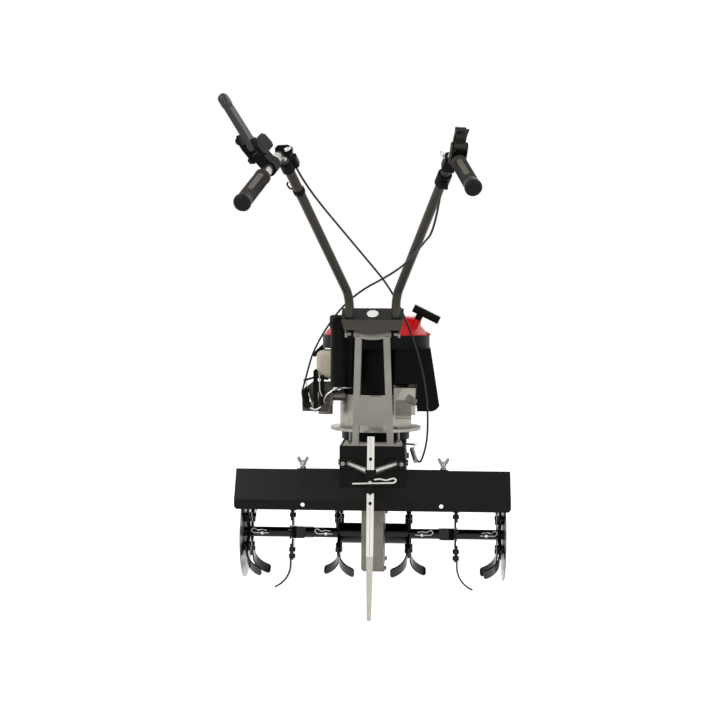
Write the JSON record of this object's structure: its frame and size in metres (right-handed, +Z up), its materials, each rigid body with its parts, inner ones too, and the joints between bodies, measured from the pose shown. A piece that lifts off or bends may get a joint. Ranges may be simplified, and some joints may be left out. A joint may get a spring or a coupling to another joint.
{
  "type": "garden tiller",
  "caption": "Walk-behind garden tiller: bent tines on a front rotor under a folded hood, upright engine with belt and worm drive, depth bar, and handlebars with clutch and throttle.",
  "frame": {"origin": "on the ground, below the middle of the bounding box", "axes": "+Z up, +Y forward in the way of travel, +X to the operator's right"},
  "size_m": [0.688, 0.9947, 1.1905],
  "materials": {
    "black_sheet": "satin",
    "grey_frame": "satin",
    "handle_paint": "satin",
    "grip_rubber": "matte",
    "belt_rubber": "matte",
    "control_black": "matte",
    "lever_paint": "satin",
    "engine_black": "satin",
    "starter_red": "gloss",
    "tank_beige": "satin",
    "engine_alloy": "cast",
    "pulley_iron": "machined",
    "fan_alloy": "cast",
    "bright_steel": "zinc",
    "bare_steel": "machined",
    "rotor_black": "satin",
    "muffler_steel": "heat-dulled",
    "plug_white": "gloss",
    "cable_sheath": "matte",
    "rope_fibre": "braided"
  },
  "bodies": {
    "machine": {"chassis_frame": "black_sheet", "chassis_floor": "black_sheet", "hood_centre": "black_sheet", "hood_wing_right": "black_sheet", "hood_wing_left": "black_sheet", "column_frame": "grey_frame", "gearbox_half_right": "engine_alloy", "gearbox_half_left": "engine_alloy", "gearbox_bearings": "bare_steel", "drive_belt": "belt_rubber", "bar_holder": "bright_steel", "bar_bolt": "bright_steel", "engine_crankcase": "engine_alloy", "cylinder_block": "engine_alloy", "spark_plug": "plug_white", "blower_housing": "engine_black", "recoil_cover": "starter_red", "air_cleaner": "control_black", "air_cleaner_lid": "control_black", "fuel_tank": "tank_beige", "carburettor": "engine_alloy", "control_plate": "black_sheet", "muffler": "muffler_steel", "clutch_cable": "cable_sheath", "throttle_cable": "cable_sheath", "tension_spring": "bright_steel", "frame_bolts": "bright_steel"},
    "rotor": {"rotor_tubes": "rotor_black", "tine_shaft": "bare_steel", "outer_tubes": "rotor_black", "end_discs": "rotor_black", "inner_tines": "rotor_black", "middle_tines": "rotor_black", "outer_tines": "rotor_black", "tine_bolts": "rotor_black", "clip_pins": "bright_steel", "worm_wheel": "bare_steel"},
    "worm": {"worm_shaft": "bare_steel", "driven_pulley": "pulley_iron"},
    "crank": {"crankshaft": "bare_steel", "flywheel": "fan_alloy", "drive_pulley": "pulley_iron"},
    "tensioner": {"tension_arm": "bright_steel"},
    "idler": {"idler_pulley": "control_black"},
    "handlebar": {"handle_yoke": "black_sheet", "handle_tube_right": "handle_paint", "handle_tube_left": "handle_paint", "grip_right": "grip_rubber", "grip_left": "grip_rubber", "lever_perch": "lever_paint", "cable_anchor": "control_black", "throttle_clamp": "control_black"},
    "lever": {"clutch_lever": "lever_paint"},
    "button": {"lock_button": "control_black"},
    "thumb_lever": {"throttle_lever": "control_black"},
    "carb_arm": {"throttle_arm": "bright_steel"},
    "starter": {"starter_handle": "control_black", "starter_rope": "rope_fibre"},
    "drag_bar": {"depth_bar": "bright_steel"},
    "cap": {"fuel_cap": "control_black"}
  },
  "joints": [
    {"name": "tine_spin", "type": "hinge", "parent": "machine", "child": "rotor", "pos_m": [0, 0.28563, 0.156], "axis": [1, 0, 0], "continuous": true},
    {"name": "worm_spin", "type": "hinge", "parent": "machine", "child": "worm", "pos_m": [0, 0.20763, 0.2], "axis": [0, 0, 1], "continuous": true},
    {"name": "crank_spin", "type": "hinge", "parent": "machine", "child": "crank", "pos_m": [0, 0.35563, 0.4], "axis": [0, 0, 1], "continuous": true},
    {"name": "handle_tilt", "type": "hinge", "parent": "machine", "child": "handlebar", "pos_m": [0, 0.10663, 0.681], "axis": [1, 0, 0], "range_deg": [-10, 10], "deforming": ["clutch_cable", "throttle_cable"]},
    {"name": "clutch_squeeze", "type": "hinge", "parent": "handlebar", "child": "lever", "pos_m": [-0.2351, -0.33974, 1.07819], "axis": [0.7334, -0.4596, 0.501], "range_deg": [0, 75], "stiffness_Nm_per_rad": 1.5, "springref_deg": -14.9},
    {"name": "belt_tension", "type": "hinge", "parent": "machine", "child": "tensioner", "pos_m": [0.064, 0.34363, 0.385], "axis": [0, 0, 1], "range_deg": [-6.4, 0], "deforming": ["tension_spring"]},
    {"name": "idler_spin", "type": "hinge", "parent": "tensioner", "child": "idler", "pos_m": [0.05931, 0.29363, 0.37], "axis": [0, 0, 1], "continuous": true},
    {"name": "lock_press", "type": "slide", "parent": "handlebar", "child": "button", "axis": [0.7334, -0.4596, 0.501], "range_m": [0, 0.005], "stiffness_N_per_m": 300, "springref_m": -0.004},
    {"name": "throttle_thumb", "type": "hinge", "parent": "handlebar", "child": "thumb_lever", "pos_m": [0.19592, -0.31091, 1.08165], "axis": [-0.9736, -0.2284, 0], "range_deg": [-30, 30]},
    {"name": "throttle_link", "type": "hinge", "parent": "machine", "child": "carb_arm", "pos_m": [-0.15, 0.27163, 0.52], "axis": [0, 1, 0], "range_deg": [-18.5, 18.5]},
    {"name": "starter_pull", "type": "slide", "parent": "machine", "child": "starter", "axis": [0.4198, -0.2999, 0.8566], "range_m": [0, 0.45], "stiffness_N_per_m": 12, "springref_m": -1.2, "deforming": ["starter_rope"]},
    {"name": "depth_slide", "type": "slide", "parent": "machine", "child": "drag_bar", "axis": [0, 0.1254, 0.9921], "range_m": [-0.025, 0.025]},
    {"name": "cap_twist", "type": "hinge", "parent": "machine", "child": "cap", "pos_m": [-0.144, 0.39763, 0.618], "axis": [-0.7001, 0, 0.7141], "range_deg": [0, 90]}
  ],
  "couplings": [
    {"joint": "worm_spin", "follows": "tine_spin", "ratio": 20},
    {"joint": "belt_tension", "follows": "clutch_squeeze", "ratio": -0.085},
    {"joint": "throttle_link", "follows": "throttle_thumb", "ratio": 0.6}
  ]
}
